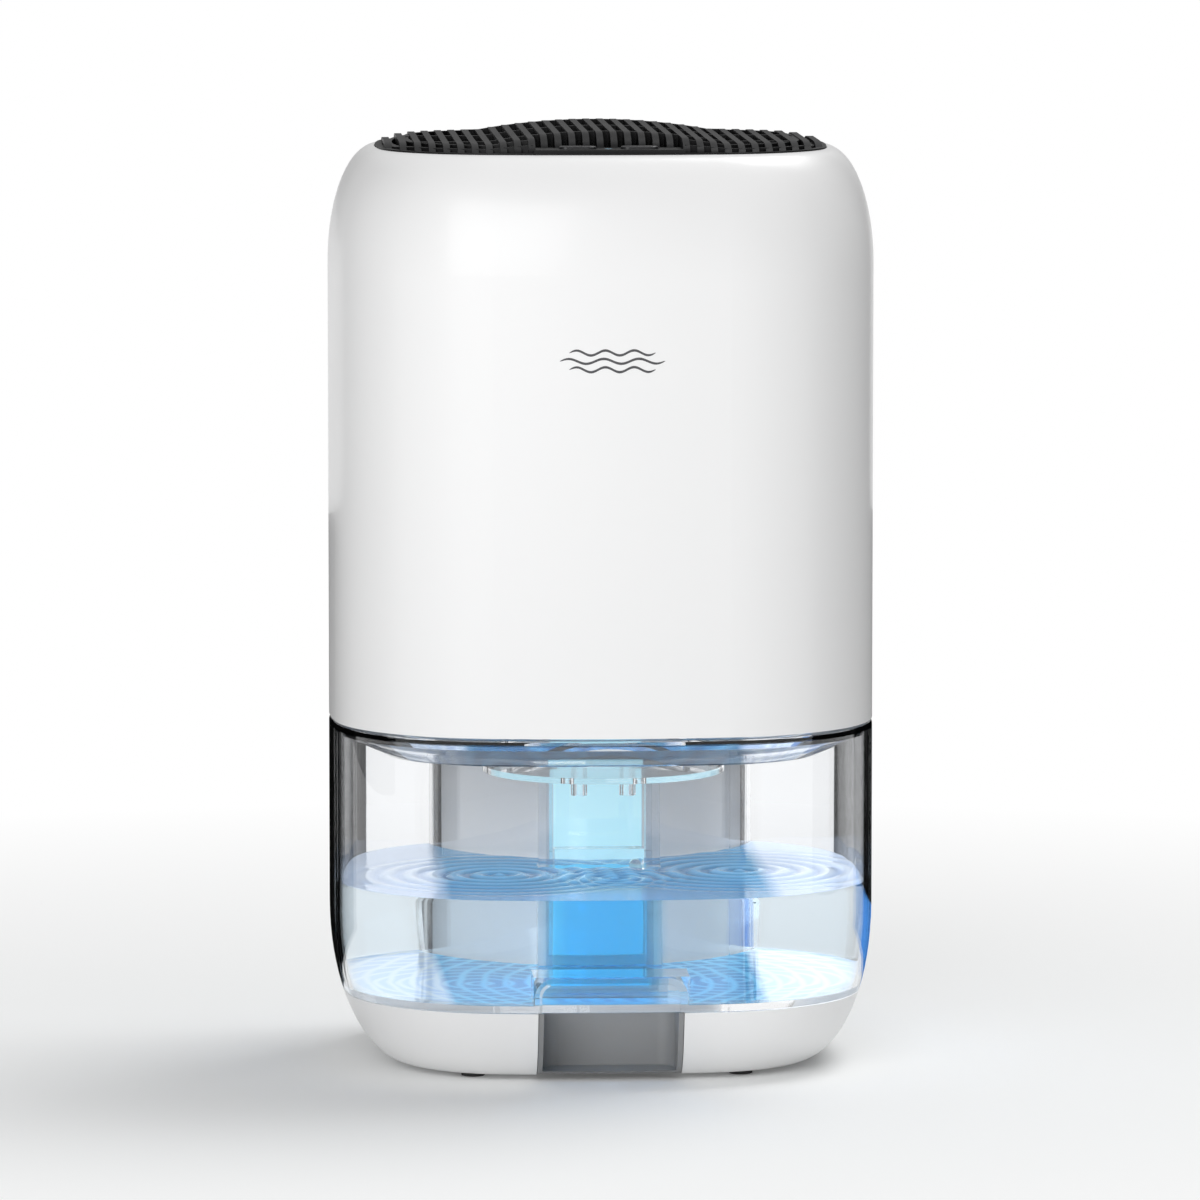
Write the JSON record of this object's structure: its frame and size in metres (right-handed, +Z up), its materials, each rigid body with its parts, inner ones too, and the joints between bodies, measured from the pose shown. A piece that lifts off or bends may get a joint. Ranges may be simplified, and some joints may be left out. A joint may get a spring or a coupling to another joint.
{
  "type": "dehumidifier",
  "caption": "Free-standing desktop thermoelectric dehumidifier with a rounded white housing, black top grille and a clear pull-out water tank over a lit grey spine.",
  "frame": {"origin": "on the floor, under the middle of the footprint", "axes": "+Z up, -Y towards the front where the tank pulls out, +X to the right seen from behind the front, that is the viewer's right"},
  "size_m": [0.18, 0.155, 0.3094],
  "materials": {
    "white_gloss": "satin gloss moulded plastic",
    "charcoal": "matte",
    "screw_steel": "zinc plated",
    "grille_black": "fine matte texture",
    "board_green": "solder mask",
    "board_white": "white solder mask",
    "switch_black": "matte",
    "lamp": "clear lens",
    "button_black": "satin",
    "bearing_bronze": "sintered",
    "copper": "enamelled wire",
    "ferrite": "matte",
    "fan_black": "satin",
    "sink_aluminium": "extruded",
    "cell_ceramic": "alumina",
    "foam": "closed-cell foam",
    "spine_grey": "satin",
    "strip_grey": "satin",
    "trim_black": "gloss",
    "window_lit": "frosted diffuser",
    "deck_white": "satin",
    "foot_rubber": "matte",
    "clear_tank": "clear moulded plastic",
    "float_clear": "clear moulded plastic",
    "magnet_nickel": "nickel plated"
  },
  "bodies": {
    "chassis": {"base_deck": "deck_white", "base_plate": "charcoal", "base_screws": "screw_steel", "base_shell": "white_gloss", "clamp_screws": "screw_steel", "cold_sink": "sink_aluminium", "control_board": "board_green", "cooling_cells": "cell_ceramic", "drip_tray": "spine_grey", "fan_bearing": "bearing_bronze", "fan_coil": "copper", "fan_duct": "charcoal", "fan_frame": "charcoal", "fan_screws": "screw_steel", "feet": "foot_rubber", "foam_gasket": "foam", "grip_strip": "strip_grey", "hot_sink": "sink_aluminium", "housing_shell": "white_gloss", "indicator_lens": "lamp", "intake_screws": "screw_steel", "level_sensor": "switch_black", "light_board": "board_white", "light_window": "window_lit", "main_board": "board_green", "power_jack": "switch_black", "rear_grille": "white_gloss", "spine_back": "white_gloss", "spine_column": "spine_grey", "spine_trims": "trim_black", "tact_switches": "switch_black", "top_grille": "grille_black", "tray_screws": "screw_steel"},
    "tank": {"water_tank": "clear_tank", "tank_lid": "clear_tank", "float_guide": "clear_tank"},
    "level_float": {"float_body": "float_clear", "float_magnet": "magnet_nickel"},
    "fan": {"fan_rotor": "fan_black", "fan_shaft": "screw_steel", "fan_magnet_ring": "ferrite"},
    "power_key": {"power_button": "button_black"},
    "light_key": {"light_button": "button_black"}
  },
  "joints": [
    {"name": "tank_slide", "type": "slide", "parent": "chassis", "child": "tank", "axis": [0, -1, 0], "range_m": [0, 0.15]},
    {"name": "float_rise", "type": "slide", "parent": "tank", "child": "level_float", "axis": [0, 0, 1], "range_m": [-0.027, 0.027]},
    {"name": "fan_spin", "type": "hinge", "parent": "chassis", "child": "fan", "pos_m": [0, 0.008, 0.28], "axis": [0, 0, 1], "continuous": true},
    {"name": "power_key_press", "type": "slide", "parent": "chassis", "child": "power_key", "axis": [0, 0, -1], "range_m": [0, 0.0008], "stiffness_N_per_m": 900, "springref_m": -0.0003},
    {"name": "light_key_press", "type": "slide", "parent": "chassis", "child": "light_key", "axis": [0, 0, -1], "range_m": [0, 0.0008], "stiffness_N_per_m": 900, "springref_m": -0.0003}
  ]
}
